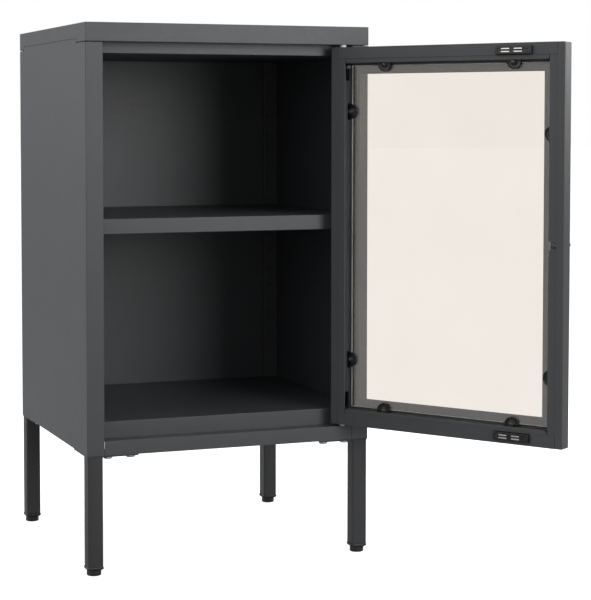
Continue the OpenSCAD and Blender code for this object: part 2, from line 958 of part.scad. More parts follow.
module bush_top() {
    color(nylon) in_body() translate([door_x + pivot_x, pivot_y, skirt_z]) bush(true);
}

module bush_bottom() {
    color(nylon) in_body() translate([door_x + pivot_x, pivot_y, rail_h]) bush(false);
}

// ---- Assembly ----------------------------------------------------------

top_cover();
ceiling_tray();
side_panel(false);  // side_panel_left
side_panel(true);  // side_panel_right
front_upright(false);  // front_upright_left
front_upright(true);  // front_upright_right
rear_upright(false);  // rear_upright_left
rear_upright(true);  // rear_upright_right
back_panel();
back_screws();
floor_tray();
shelf_clips();
shelf();
shelf_stiffener();
leg_tube(false, false);  // leg_front_left
leg_tube(true, false);  // leg_front_right
leg_tube(false, true);  // leg_rear_left
leg_tube(true, true);  // leg_rear_right
leg_plate(false, false);  // plate_front_left
leg_plate(true, false);  // plate_front_right
leg_plate(false, true);  // plate_rear_left
leg_plate(true, true);  // plate_rear_right
leg_bolts();
leg_nuts();
leg_socket(false, false);  // socket_front_left
leg_socket(true, false);  // socket_front_right
leg_socket(false, true);  // socket_rear_left
leg_socket(true, true);  // socket_rear_right
foot(false, false);  // foot_front_left
foot(true, false);  // foot_front_right
foot(false, true);  // foot_rear_left
foot(true, true);  // foot_rear_right
door_skin();
door_stile_hinge();
door_stile_free();
door_rail(true);  // door_rail_top
door_rail(false);  // door_rail_bottom
glass_pane();
glass_clips();
clip_screws();
catch_body(true);  // catch_body_top
catch_body(false);  // catch_body_bottom
catch_poles();
catch_magnets();
catch_screws();
knob();
knob_screw();
hinge_block_top();
hinge_block_bottom();
hinge_pin_top();
hinge_pin_bottom();
pin_spring();
pin_retainer();
bush_top();
bush_bottom();
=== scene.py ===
# %% [markdown]
# # Finishing a glazed steel side cabinet
# The cabinet is folded from thin sheet steel, coated with anthracite powder, and stands on four
# square legs. Its one door holds a pane of glass between two stiles and two rails, and stands open.
# The frame that is loaded here already fixes every size, every piece and every joint, and it is
# never changed. What is left for Blender is what a drawing leaves out: the round of each fold, the
# orange-peel skin of the powder, moulded plastic, cut threads and recessed screws.

# %% Load the frame
import json
import math

import bmesh
import bpy
from mathutils import Matrix, Vector
from mathutils.geometry import delaunay_2d_cdt


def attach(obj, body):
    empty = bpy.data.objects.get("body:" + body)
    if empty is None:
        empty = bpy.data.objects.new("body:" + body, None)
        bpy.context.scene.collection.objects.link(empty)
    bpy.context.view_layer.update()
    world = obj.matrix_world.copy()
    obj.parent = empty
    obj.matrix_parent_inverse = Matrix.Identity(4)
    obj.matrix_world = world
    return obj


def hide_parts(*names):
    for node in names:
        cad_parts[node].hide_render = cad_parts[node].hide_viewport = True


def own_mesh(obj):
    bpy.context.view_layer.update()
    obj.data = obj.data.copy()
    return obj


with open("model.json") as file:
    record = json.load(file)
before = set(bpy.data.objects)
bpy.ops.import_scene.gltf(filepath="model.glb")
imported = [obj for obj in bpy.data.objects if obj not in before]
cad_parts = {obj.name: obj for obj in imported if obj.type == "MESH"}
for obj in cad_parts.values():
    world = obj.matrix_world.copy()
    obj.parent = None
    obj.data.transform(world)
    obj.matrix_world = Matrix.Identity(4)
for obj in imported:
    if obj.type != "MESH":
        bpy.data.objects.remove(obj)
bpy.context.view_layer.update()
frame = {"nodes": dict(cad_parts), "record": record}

MM = 0.001
record = frame["record"]
body_of = {node: body for body, nodes in record["behaviour"]["bodies"].items() for node in nodes}

# %% [markdown]
# ## The open door
# The door is drawn where it stands open, so its pieces lie at an odd angle. It is easier to model
# them on a closed door, square to the cabinet, and to swing the result open. The hinge tells how:
# its lower limit is the closed door, so the door stands open by just that angle.

# %% Swing between closed and open
hinge = next(joint for joint in record["behaviour"]["joints"] if joint["name"] == "door_hinge")
pivot = Vector(hinge["pos_m"])
open_angle = math.radians(-hinge["range_deg"][0])
swing_open = (
    Matrix.Translation(pivot) @ Matrix.Rotation(open_angle, 4, "Z") @ Matrix.Translation(-pivot)
)


def stance(node):
    """Carries a piece from the closed cabinet, where it is modelled, to where the frame has it."""
    return swing_open if body_of[node] in ("door", "top_pin") else Matrix.Identity(4)


print(f"the door stands open by {math.degrees(open_angle):.0f} degrees")

# %% [markdown]
# ## Reading the frame's solids
# A node of the frame may hold one solid, such as a side panel, or a whole group, such as sixteen
# bolts. Its mesh is cut into triangles with doubled corners. Welding the corners and dissolving the
# flat seams gives clean faces again, and walking from corner to corner tells the solids apart.

# %% Clean copies and separate solids
WELD = 0.002 * MM
FLAT = math.radians(0.6)


def clean_copy(node):
    """A node's mesh on the closed cabinet, welded, with each flat face whole."""
    work = bmesh.new()
    work.from_mesh(frame["nodes"][node].data)
    bmesh.ops.remove_doubles(work, verts=work.verts, dist=WELD)
    bmesh.ops.dissolve_limit(work, angle_limit=FLAT, verts=work.verts, edges=work.edges)
    work.transform(stance(node).inverted())
    return work


def corners(points):
    """The lowest and the highest corner of some points."""
    low = Vector([min(point[axis] for point in points) for axis in range(3)])
    high = Vector([max(point[axis] for point in points) for axis in range(3)])
    return low, high


def solids(node):
    """The box of each separate solid of a node, on the closed cabinet, in a steady order."""
    work = clean_copy(node)
    waiting = set(work.verts)
    boxes = []
    for seed in work.verts:
        if seed not in waiting:
            continue
        waiting.discard(seed)
        island = [seed]
        for vertex in island:
            for edge in vertex.link_edges:
                other = edge.other_vert(vertex)
                if other in waiting:
                    waiting.discard(other)
                    island.append(other)
        boxes.append(corners([vertex.co for vertex in island]))
    work.free()
    return boxes


sheet = min(solids("back_panel")[0][1] - solids("back_panel")[0][0])
print(f"sheet {sheet / MM:.2f} mm, {len(solids('leg_bolts'))} leg bolts")

# %% [markdown]
# ## Finishes
# Every finish is a small network on one shader. Values that are even over the surface sit straight
# on the shader. What varies comes from noise that is fixed to the object, so it turns with the
# door: wide clouds for colour and gloss, and fine noise that lifts the surface by a few hundredths
# of a millimetre.

# %% Finish helpers
def new_finish(name, values):
    """A material whose even values are set straight on its shader."""
    finish = bpy.data.materials.new(name)
    finish.use_nodes = True
    shader = finish.node_tree.nodes["Principled BSDF"]
    for socket, value in values.items():
        shader.inputs[socket].default_value = value
    return finish


def cloud(finish, lump, detail=2.0):
    """Noise with lumps about that many metres across."""
    nodes, links = finish.node_tree.nodes, finish.node_tree.links
    place = nodes.new("ShaderNodeTexCoord")
    noise = nodes.new("ShaderNodeTexNoise")
    noise.inputs["Scale"].default_value = 1 / lump
    noise.inputs["Detail"].default_value = detail
    links.new(place.outputs["Object"], noise.inputs["Vector"])
    return noise.outputs["Fac"]


def vary_colour(finish, source, dark, light):
    """Mixes the base colour between two shades as the noise goes."""
    nodes, links = finish.node_tree.nodes, finish.node_tree.links
    ramp = nodes.new("ShaderNodeValToRGB")
    ramp.color_ramp.elements[0].position = 0.3
    ramp.color_ramp.elements[1].position = 0.7
    ramp.color_ramp.elements[0].color = (*dark, 1)
    ramp.color_ramp.elements[1].color = (*light, 1)
    links.new(source, ramp.inputs["Fac"])
    links.new(ramp.outputs["Color"], nodes["Principled BSDF"].inputs["Base Color"])


def vary_roughness(finish, source, smooth, rough):
    """Mixes the roughness between two values as the noise goes."""
    nodes, links = finish.node_tree.nodes, finish.node_tree.links
    scale = nodes.new("ShaderNodeMapRange")
    scale.inputs["From Min"].default_value = 0.3
    scale.inputs["From Max"].default_value = 0.7
    scale.inputs["To Min"].default_value = smooth
    scale.inputs["To Max"].default_value = rough
    links.new(source, scale.inputs["Value"])
    links.new(scale.outputs["Result"], nodes["Principled BSDF"].inputs["Roughness"])


def raise_skin(finish, *layers):
    """Bumps the surface with layers of noise, each with its height in metres."""
    nodes, links = finish.node_tree.nodes, finish.node_tree.links
    normal = nodes["Principled BSDF"].inputs["Normal"]
    for source, height in layers:
        bump = nodes.new("ShaderNodeBump")
        bump.inputs["Distance"].default_value = height
        links.new(source, bump.inputs["Height"])
        links.new(bump.outputs["Normal"], normal)
        normal = bump.inputs["Normal"]


print("finish helpers ready")

# %% [markdown]
# ## Powder coat
# The powder is sprayed dry and melted in an oven. It flows into a satin skin with the dimples of
# orange peel, about a millimetre apart, and with much finer grain between them. The coat is nearly
# black grey, slightly blue, and varies a little in shade where it lies thicker. A base colour from
# wide noise and two layers of bump are enough. Door, shelf, legs and body each have their own
# material. The shelf is a touch apart from the body, while the door and the legs are darker: that
# is painted shade, for the light that reaches them less.

# %% Powder coats
def powder_coat(name, colour, smooth, rough):
    """Satin anthracite powder on steel."""
    finish = new_finish(name, {"IOR": 1.5})
    dark = [channel * 0.96 for channel in colour]
    light = [channel * 1.04 for channel in colour]
    vary_colour(finish, cloud(finish, 60 * MM, 4), dark, light)
    vary_roughness(finish, cloud(finish, 3 * MM, 3), smooth, rough)
    raise_skin(
        finish,
        (cloud(finish, 0.45 * MM, 2), 0.010 * MM),
        (cloud(finish, 1.4 * MM, 1), 0.016 * MM),
    )
    return finish


finishes = {
    "cabinet_paint": powder_coat("cabinet_powder", (0.047, 0.050, 0.055), 0.40, 0.47),
    "shelf_paint": powder_coat("shelf_powder", (0.045, 0.048, 0.053), 0.40, 0.47),
    # The legs' coat is darkened to about half the body's: painted shade for the light that reaches
    # them less.
    "leg_paint": powder_coat("leg_powder_painted_shade", (0.024, 0.025, 0.027), 0.40, 0.47),
    # The door's coat is darkened too: painted shade for its dimmer light, not a different powder.
    "door_paint": powder_coat("door_powder_painted_shade", (0.036, 0.0375, 0.040), 0.42, 0.50),
    "knob_paint": powder_coat("knob_powder", (0.030, 0.031, 0.033), 0.34, 0.42),
}
print(f"{len(finishes)} powder coats")

# %% [markdown]
# ## Plastic, plated steel and glass
# The clips, catches and hinge blocks are moulded in black plastic, which takes the fine spark
# texture of its mould. The feet are a duller grade. Screws are blackened or zinc plated: plating is
# a metal with soft cloudy gloss. Float glass is clear with a faint warm cast, and its cut edge is
# ground, which scatters the light and looks pale and slightly green.

# %% Small parts' finishes
def moulded(name, colour, smooth, rough, texture):
    """Plastic from a spark-eroded mould."""
    finish = new_finish(name, {"IOR": 1.46})
    dark = [channel * 0.9 for channel in colour]
    light = [channel * 1.1 for channel in colour]
    vary_colour(finish, cloud(finish, 8 * MM, 3), dark, light)
    vary_roughness(finish, cloud(finish, 5 * MM, 2), smooth, rough)
    raise_skin(finish, (cloud(finish, 0.25 * MM, 2), texture))
    return finish


def plated(name, colour, smooth, rough):
    """Steel under a thin plating, with the faint cloudiness of the bath."""
    finish = new_finish(name, {"Metallic": 1.0})
    vary_colour(finish, cloud(finish, 3 * MM, 3), [c * 0.88 for c in colour], colour)
    vary_roughness(finish, cloud(finish, 1.5 * MM, 3), smooth, rough)
    raise_skin(finish, (cloud(finish, 0.3 * MM, 3), 0.002 * MM))
    return finish


finishes["black_plastic"] = moulded("black_moulding", (0.007, 0.007, 0.008), 0.20, 0.30, 0.004 * MM)
finishes["foot_plastic"] = moulded("foot_moulding", (0.016, 0.016, 0.017), 0.45, 0.58, 0.010 * MM)
finishes["nylon"] = moulded("white_nylon", (0.78, 0.78, 0.75), 0.35, 0.45, 0.004 * MM)
finishes["ferrite"] = moulded("sintered_ferrite", (0.032, 0.031, 0.031), 0.65, 0.80, 0.012 * MM)
finishes["zinc_plate"] = plated("zinc_plating", (0.62, 0.63, 0.65), 0.26, 0.38)
finishes["pole_steel"] = plated("nickel_plating", (0.74, 0.73, 0.70), 0.18, 0.28)
finishes["black_screws"] = plated("black_oxide", (0.10, 0.10, 0.105), 0.20, 0.30)

finishes["glass"] = new_finish(
    "float_glass", {"Roughness": 0.0, "Transmission Weight": 1.0, "IOR": 1.5}
)
glass_cloud = cloud(finishes["glass"], 80 * MM)
vary_colour(finishes["glass"], glass_cloud, (0.800, 0.751, 0.694), (0.815, 0.766, 0.709))
ground_edge = new_finish(
    "ground_glass_edge",
    {"Base Color": (0.80, 0.86, 0.82, 1), "Transmission Weight": 0.65, "IOR": 1.5},
)
vary_roughness(ground_edge, cloud(ground_edge, 0.8 * MM, 3), 0.35, 0.55)
raise_skin(ground_edge, (cloud(ground_edge, 0.2 * MM, 3), 0.01 * MM))
print(f"{len(finishes)} finishes in all")

# %% [markdown]
# ## From mesh to piece
# Each piece takes the place of the frame's node: it rides on the same body, it hides the node, and
# it takes the node's finish. Which finish belongs to which node is kept in one place.

# %% Finish of each node
def slot_of(node):
    """The material slot of a node. The knob's screw is blackened here, not zinc plated."""
    wording = {
        "shelf_paint": ("shelf", "shelf_stiffener"),
        "glass": ("glass_pane",),
        "black_screws": ("clip_screws", "catch_screws", "knob_screw"),
        "knob_paint": ("knob",),
        "pole_steel": ("catch_poles",),
        "ferrite": ("catch_magnets",),
        "nylon": ("bush_top", "bush_bottom"),
    }
    for name, members in wording.items():
        if node in members:
            return name
    starts = {
        "leg_front": "leg_paint", "leg_rear": "leg_paint", "plate_": "leg_paint",
        "foot_": "foot_plastic", "socket_": "foot_plastic", "glass_clips": "black_plastic",
        "catch_body": "black_plastic", "hinge_block": "black_plastic",
        "pin_retainer": "black_plastic", "leg_": "zinc_plate", "back_screws": "zinc_plate",
        "hinge_pin": "zinc_plate", "pin_spring": "zinc_plate",
        "shelf_clips": "zinc_plate", "door_": "door_paint",
    }
    for start, name in starts.items():
        if node.startswith(start):
            return name
    return "cabinet_paint"


def make_piece(name, work, node, *extra_finishes):
    """Turns a bmesh, on the closed cabinet, into a finished piece that stands for a node."""
    work.transform(stance(node))
    mesh = bpy.data.meshes.new(name)
    work.to_mesh(mesh)
    work.free()
    mesh.materials.append(finishes[slot_of(node)])
    for finish in extra_finishes:
        mesh.materials.append(finish)
    mesh.shade_smooth()
    piece = bpy.data.objects.new(name, mesh)
    bpy.context.scene.collection.objects.link(piece)
    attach(piece, body_of[node])
    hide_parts(node)
    return piece


for node, thing in frame["nodes"].items():
    thing.data.materials.clear()
    thing.data.materials.append(finishes[slot_of(node)])
print(f"{len({slot_of(node) for node in frame['nodes']})} slots in use")

# %% [markdown]
# ## Rounded edges
# A bevel rounds the sharp edges of a clean copy. It moves the corners of each flat face a little,
# and a large face with slots in it is cut up by long seams, which then no longer fit the moved
# corners. So each flat region is laid afresh afterwards: its outline alone is kept, and is filled
# with triangles that all lie in its plane. An edge that still stands open has corners of its
# neighbours on it: it is split there and joined to them, and all faces are turned outwards, so the
# piece is a closed solid again. Last, each corner takes its normal from the largest face beside it,
# so the flats look flat and only the rounds shade from one side to the next.

# %% Flat regions
SHARP = math.radians(30)
SAME_PLANE = math.cos(math.radians(0.5))
TOUCHING = 0.001 * MM


def flat_regions(work):
    """Groups of faces that touch and lie in one plane."""
    waiting = set(work.faces)
    regions = []
    for seed in work.faces:
        if seed not in waiting:
            continue
        waiting.discard(seed)
        region = [seed]
        for face in region:
            for other in {near for edge in face.edges for near in edge.link_faces} & waiting:
                if other.normal.dot(seed.normal) > SAME_PLANE:
                    waiting.discard(other)
                    region.append(other)
        regions.append(region)
    return regions


def outline(region):
    """The edges that only one face of a region has."""
    inside = set(region)
    rim = {edge for face in region for edge in face.edges}
    return [edge for edge in rim if sum(face in inside for face in edge.link_faces) == 1]


def encloses(sides, point):
    """Whether a point lies inside closed outlines: a line from it crosses them an odd number."""
    crossings = 0
    for start, end in sides:
        if (start.y > point.y) != (end.y > point.y):
            share = (point.y - start.y) / (end.y - start.y)
            crossings += start.x + share * (end.x - start.x) > point.x
    return crossings % 2 == 1


def lay_afresh(work, region):
    """Fills the outline of a flat region with new triangles."""
    rim = sorted(outline(region), key=lambda edge: edge.index)
    ends = list(dict.fromkeys(vertex for edge in rim for vertex in edge.verts))
    place = {vertex: index for index, vertex in enumerate(ends)}
    level = region[0].normal.rotation_difference(Vector((0, 0, 1))).to_matrix()
    points = [level @ vertex.co for vertex in ends]
    height = sum(point.z for point in points) / len(points)
    flat = [point.to_2d() for point in points]
    links = [(place[edge.verts[0]], place[edge.verts[1]]) for edge in rim]
    made = delaunay_2d_cdt(flat, links, [], 0, TOUCHING, True)
    sides = [(flat[start], flat[end]) for start, end in links]
    bmesh.ops.delete(work, geom=region, context="FACES_ONLY")
    corner_of = []
    for point, sources in zip(made[0], made[3]):
        here = level.transposed() @ Vector((point.x, point.y, height))
        corner_of.append(ends[sources[0]] if sources else work.verts.new(here))
    for triangle in made[2]:
        centre = sum((made[0][index] for index in triangle), Vector((0, 0))) / len(triangle)
        tips = [corner_of[index] for index in triangle]
        if len(set(tips)) == 3 and encloses(sides, centre) and not work.faces.get(tips):
            work.faces.new(tips)


def stitch(work):
    """Splits each open edge where other open corners lie on it, and joins what meets there."""
    unsewn = [edge for edge in work.edges if len(edge.link_faces) == 1]
    ends = list(dict.fromkeys(vertex for edge in unsewn for vertex in edge.verts))
    for edge in unsewn:
        start, end = edge.verts
        origin, along = start.co.copy(), end.co - start.co
        near = []
        for vertex in ends:
            share = (vertex.co - origin).dot(along) / along.length_squared
            gap = (origin + share * along - vertex.co).length
            if vertex not in (start, end) and 0 < share < 1 and gap < 2 * TOUCHING:
                near.append(share)
        for share in sorted(near):
            fresh_edge, fresh = bmesh.utils.edge_split(edge, start, 0.5)
            fresh.co = origin + share * along
            edge, start = next(e for e in (edge, fresh_edge) if end in e.verts), fresh
            ends.append(fresh)
    bmesh.ops.remove_doubles(work, verts=ends, dist=2 * TOUCHING)


def rounded(work, radius, steps):
    """The mesh with its weighted edges rounded and each flat region laid afresh."""
    blank = temporary("blank", work)
    bevel = blank.modifiers.new("rounded_edges", "BEVEL")
    bevel.limit_method = "WEIGHT"
    bevel.width = radius
    bevel.segments = steps
    bevel.use_clamp_overlap = False
    bevel.loop_slide = False
    shaped = blank.evaluated_get(bpy.context.evaluated_depsgraph_get())
    result = bmesh.new()
    result.from_mesh(shaped.to_mesh())
    bpy.data.objects.remove(blank)
    bmesh.ops.dissolve_degenerate(result, dist=TOUCHING, edges=result.edges)
    result.normal_update()
    result.edges.index_update()
    for region in flat_regions(result):
        if len(region) > 1 or len(region[0].verts) > 4:
            lay_afresh(result, region)
    loose = [edge for edge in result.edges if not edge.link_faces]
    bmesh.ops.delete(result, geom=loose, context="EDGES")
    stitch(result)
    bmesh.ops.recalc_face_normals(result, faces=result.faces)
    return result


def temporary(name, work):
    """An object to shape or to cut with, removed again afterwards."""
    mesh = bpy.data.meshes.new(name)
    work.to_mesh(mesh)
    work.free()
    thing = bpy.data.objects.new(name, mesh)
    bpy.context.scene.collection.objects.link(thing)
    return thing


def even_out(piece):
    """Lets the largest face at each corner set the normal there."""
    flatten = piece.modifiers.new("flat_faces", "WEIGHTED_NORMAL")
    flatten.mode = "FACE_AREA"
    flatten.weight = 100


print("edges can be rounded")

# %% [markdown]
# ## Folded sheet
# The cover, the sides, the trays, the shelf and the door are flat blanks, bent on a press brake. A
# fold is round outside, with a smaller round inside, while the sheared rim of the sheet stays
# almost sharp. One could sweep each piece's section anew, but its slots and notches would have to
# be cut again. Here the bevel does it. A weight on each edge sets the size of its round: a rim
# borders a region as narrow as the sheet, and any other sharp edge is a fold.

# %% Folded pieces
FOLD_OUTSIDE = 0.75 * MM
FOLD_INSIDE = 0.30 * MM
RIM = 0.12 * MM
FOLD_STEPS = 3
NARROW = 1.2 * sheet


def region_widths(work):
    """For each face, how wide its flat region is: twice its area over the length of its outline."""
    widths = {}
    for region in flat_regions(work):
        around = sum(edge.calc_length() for edge in outline(region))
        width = 2 * sum(face.calc_area() for face in region) / around
        widths.update((face, width) for face in region)
    return widths


def weigh_edges(work):
    """Gives each sharp edge its share of the largest round."""
    weight = work.edges.layers.float.new("bevel_weight_edge")
    work.normal_update()
    widths = region_widths(work)
    folds = 0
    for edge in work.edges:
        turn = edge.calc_face_angle_signed(0)
        if abs(turn) < SHARP:
            continue
        if min(widths[face] for face in edge.link_faces) < NARROW:
            edge[weight] = RIM / FOLD_OUTSIDE
        else:
            edge[weight] = 1 if turn > 0 else FOLD_INSIDE / FOLD_OUTSIDE
            folds += 1
    return folds


def folded(node):
    """A piece of folded sheet with round folds and sheared rims."""
    work = clean_copy(node)
    folds = weigh_edges(work)
    even_out(make_piece(node + "_sheet", rounded(work, FOLD_OUTSIDE, FOLD_STEPS), node))
    return folds


sheet_nodes = [
    "top_cover", "ceiling_tray", "side_panel_left", "side_panel_right", "floor_tray",
    "front_upright_left", "front_upright_right", "rear_upright_left", "rear_upright_right",
    "back_panel", "shelf", "shelf_stiffener", "door_skin", "door_stile_hinge",
    "door_stile_free", "door_rail_top", "door_rail_bottom",
]
for node in sheet_nodes:
    print(f"{node}: {folded(node)} fold edges")

# %% [markdown]
# ## Moulded and stamped blocks
# Catch housings, hinge blocks, pole plates, magnets and the shelf clips are compact, with every
# edge broken by the same small round, as a mould or a tumbling barrel leaves them. They take the
# same bevel, with one weight for all their sharp edges.

# %% Blocks with broken edges
BLOCK_STEPS = 2


def blocky(node, radius):
    """A compact piece whose sharp edges all have the same round."""
    work = clean_copy(node)
    weight = work.edges.layers.float.new("bevel_weight_edge")
    for edge in work.edges:
        edge[weight] = 1 if abs(edge.calc_face_angle_signed(0)) > SHARP else 0
    even_out(make_piece(node + "_part", rounded(work, radius, BLOCK_STEPS), node))


block_rounds = {
    "catch_body_top": 0.5, "catch_body_bottom": 0.5, "catch_poles": 0.12, "catch_magnets": 0.15,
    "hinge_block_top": 0.3, "hinge_block_bottom": 0.3, "shelf_clips": 0.15, "pin_retainer": 0.2,
    "bush_top": 0.15, "bush_bottom": 0.15, "hinge_pin_top": 0.2,
    "plate_front_left": 0.2, "plate_front_right": 0.2, "plate_rear_left": 0.2,
    "plate_rear_right": 0.2,
}
for node, radius in block_rounds.items():
    blocky(node, radius * MM)
print(f"{len(block_rounds)} blocks with broken edges")

# %% [markdown]
# ## Rings make round pieces
# Feet, clips, screws and legs are all stacks of rings: circles for turned pieces, rounded squares
# for tubes. A loft joins each ring to the next with a band of faces. The ends are capped, or the
# last ring joins the first where the piece has a bore. Subdivision could do the same from a coarse
# cage, but rings keep the true radius.

# %% Rings and lofts
def circle(radius, height, steps=48):
    """A ring of points round the upright axis."""
    turns = [math.tau * step / steps for step in range(steps)]
    return [Vector((radius * math.cos(turn), radius * math.sin(turn), height)) for turn in turns]


def rounded_square(width, corner, height, steps=48):
    """A square ring with round corners, with as many points as a circle of that many steps."""
    ring = []
    for quarter in range(4):
        centre = Vector((width / 2 - corner, width / 2 - corner, height))
        for step in range(steps // 4):
            turn = (step + 0.5) / (steps // 4) * math.pi / 2
            point = centre + Vector((corner * math.cos(turn), corner * math.sin(turn), 0))
            ring.append(Matrix.Rotation(quarter * math.pi / 2, 4, "Z") @ point)
    return ring


def loft(rings, bored=False):
    """Joins rings into one closed skin. A bored one runs back to its first ring."""
    work = bmesh.new()
    loops = [[work.verts.new(point) for point in ring] for ring in rings]
    pairs = list(zip(loops, loops[1:]))
    if bored:
        pairs.append((loops[-1], loops[0]))
    else:
        work.faces.new(reversed(loops[0]))
        work.faces.new(loops[-1])
    for lower, upper in pairs:
        for here in range(len(lower)):
            after = (here + 1) % len(lower)
            work.faces.new((lower[here], lower[after], upper[after], upper[here]))
    bmesh.ops.recalc_face_normals(work, faces=work.faces)
    return work


def arc(radius, height, bend, start, end, steps=5):
    """Radius and height of points on a rounded corner, from one angle to another in degrees."""
    angles = [math.radians(start + (end - start) * step / steps) for step in range(steps + 1)]
    return [(radius + bend * math.cos(a), height + bend * math.sin(a)) for a in angles]


def turned(outline, bored=False, steps=48):
    """A piece turned round the upright axis from its outline of radius and height."""
    apart = [now for now, after in zip(outline, outline[1:]) if math.dist(now, after) > TOUCHING]
    return loft([circle(radius, height, steps) for radius, height in apart + outline[-1:]], bored)


print("rings ready")

# %% [markdown]
# ## Screws
# A screw's head is turned, then a punch drives the cross into it. The punch tapers, so the recess
# is narrower at its bottom. The same is done here: the head is a loft, and two wedges are cut out
# of it with a boolean, once for each kind of screw. Copies of the result go wherever the frame has
# one.

# %% Screw makers
def wedge(reach, half, depth, over):
    """One tapering blade of the punch, from its tip at depth to over above the head."""
    rings = []
    for height, share in ((-depth, 0.45), (over, 1.25)):
        x, y = reach * share, half * (0.7 + 0.3 * share)
        around = ((x, y), (-x, y), (-x, -y), (x, -y))
        rings.append([Vector((*point, height)) for point in around])
    return loft(rings)


def cut_cross(work, top, reach, half, depth):
    """Cuts a cross recess into the head that ends at height top."""
    head = temporary("blank", work)
    for turn in (0, math.pi / 2):
        blade = wedge(reach, half, depth, 0.5 * MM)
        blade.transform(Matrix.Translation((0, 0, top)) @ Matrix.Rotation(turn, 4, "Z"))
        cutter = temporary("blade", blade)
        cut = head.modifiers.new("recess", "BOOLEAN")
        cut.object = cutter
        cut.solver = "EXACT"
    shaped = head.evaluated_get(bpy.context.evaluated_depsgraph_get())
    result = bmesh.new()
    result.from_mesh(shaped.to_mesh())
    for thing in [head] + [modifier.object for modifier in head.modifiers]:
        bpy.data.objects.remove(thing)
    return result


def crossed_screw(head_r, head_h, shank_r, shank_l, flat_r):
    """A pan-head screw that stands upright: shank below height 0, head above it."""
    bend = head_h * 0.55
    outline = [(shank_r * 0.6, -shank_l), (shank_r, -shank_l + shank_r * 0.4)]
    outline += [(shank_r, 0), (head_r - 0.1 * MM, 0)]
    outline += arc(head_r - 0.15 * MM, 0.15 * MM, 0.15 * MM, -60, 0, 3)
    outline += arc(head_r - bend, head_h - bend, bend, 0, 75, 5)
    outline += [(flat_r, head_h - 0.02 * MM), (0.2 * MM, head_h)]
    return cut_cross(turned(outline, steps=32), head_h, head_r * 0.62, head_r * 0.13, head_h * 0.7)


UPRIGHT = Matrix.Identity(4)
TO_REAR = Matrix.Rotation(-math.pi / 2, 4, "X")
TO_FRONT = Matrix.Rotation(math.pi / 2, 4, "X")
DOWN = Matrix.Rotation(math.pi, 4, "X")


def copies(name, node, pattern, seats):
    """One piece made of a copy of the pattern at each seat, a place and a way to turn it."""
    kept = bpy.data.meshes.new(name + "_pattern")
    pattern.to_mesh(kept)
    pattern.free()
    work = bmesh.new()
    for place, turn in seats:
        first = len(work.verts)
        work.from_mesh(kept)
        work.verts.ensure_lookup_table()
        matrix = Matrix.Translation(place) @ turn
        bmesh.ops.transform(work, matrix=matrix, verts=work.verts[first:])
    bpy.data.meshes.remove(kept)
    piece = make_piece(name, work, node)
    piece.data.set_sharp_from_angle(angle=SHARP)
    return piece


def middle(box):
    """The centre of a box."""
    return (box[0] + box[1]) / 2


def underside(box):
    """The centre of a box's lowest face."""
    return Vector((middle(box).x, middle(box).y, box[0].z))


print("screw makers ready")

# %% Screws in their places
def rear_facing_screws(name, node, head_h, shank_r):
    """Screws driven from the rear, or from the inside of the door, sized from the frame's own."""
    boxes = solids(node)
    low, high = boxes[0]
    head_r = (high.x - low.x) / 2
    length = high.y - low.y
    pattern = crossed_screw(head_r, head_h, shank_r, length - head_h, head_r * 0.45)
    seats = [(Vector((middle(b).x, b[1].y - head_h, middle(b).z)), TO_REAR) for b in boxes]
    copies(name, node, pattern, seats)
    return len(seats)


print(rear_facing_screws("back_panel_screws", "back_screws", 2.0 * MM, 1.9 * MM), "back screws")
print(rear_facing_screws("glass_clip_screws", "clip_screws", 1.6 * MM, 1.2 * MM), "clip screws")
print(rear_facing_screws("knob_fixing_screw", "knob_screw", 1.8 * MM, 2.0 * MM), "knob screw")
print(rear_facing_screws("catch_fixing_screws", "catch_screws", 0.8 * MM, 1.2 * MM), "catch screws")

# %% [markdown]
# ## Leg bolts and nuts
# Four bolts hold each leg plate to the cabinet's bottom, with their heads below and nuts inside. A
# nut's top and bottom corners are chamfered by a cone. Its ring at any height is the smaller of a
# hexagon and that cone's circle, so both shapes come from one formula.

# %% Bolts and nuts
bolt_boxes = solids("leg_bolts")
bolt_low, bolt_high = bolt_boxes[0]
bolt_head_r = (bolt_high.x - bolt_low.x) / 2
BOLT_HEAD = 3.4 * MM
BOLT_SHANK_R = 2.95 * MM
BOLT_FLAT_R = 2.8 * MM
shank_l = bolt_high.z - bolt_low.z - BOLT_HEAD
bolt = crossed_screw(bolt_head_r, BOLT_HEAD, BOLT_SHANK_R, shank_l, BOLT_FLAT_R)
seats = [(Vector((middle(b).x, middle(b).y, b[0].z + BOLT_HEAD)), DOWN) for b in bolt_boxes]
copies("leg_plate_bolts", "leg_bolts", bolt, seats)

nut_boxes = solids("leg_nuts")
nut_low, nut_high = nut_boxes[0]
nut_h = nut_high.z - nut_low.z
nut_flat = (nut_high.y - nut_low.y) / 2
NUT_BORE = 3.0 * MM


def nut_ring(height, cone, steps=48):
    """A hexagon whose corners are cut back to the circle of a cone."""
    ring = []
    for step in range(steps):
        turn = math.tau * step / steps
        across = (turn + math.pi / 6) % (math.pi / 3) - math.pi / 6
        radius = min(nut_flat / math.cos(across - math.copysign(math.pi / 6, across)), cone)
        ring.append(Vector((radius * math.cos(turn), radius * math.sin(turn), height)))
    return ring


corner = nut_flat / math.cos(math.pi / 6)
nut_rings = [circle(NUT_BORE, 0), circle(NUT_BORE + 0.4 * MM, 0)]
for height, cone in ((0, 0.93), (0.05, 0.96), (0.12, 1), (0.88, 1), (0.95, 0.96), (1, 0.93)):
    nut_rings.append(nut_ring(height * nut_h, cone * corner))
nut_rings += [circle(NUT_BORE + 0.4 * MM, nut_h), circle(NUT_BORE, nut_h - 0.3 * MM)]
seats = [(underside(b), UPRIGHT) for b in nut_boxes]
copies("leg_plate_nuts", "leg_nuts", loft(nut_rings, bored=True), seats)
print(f"{len(bolt_boxes)} bolts and {len(nut_boxes)} nuts")

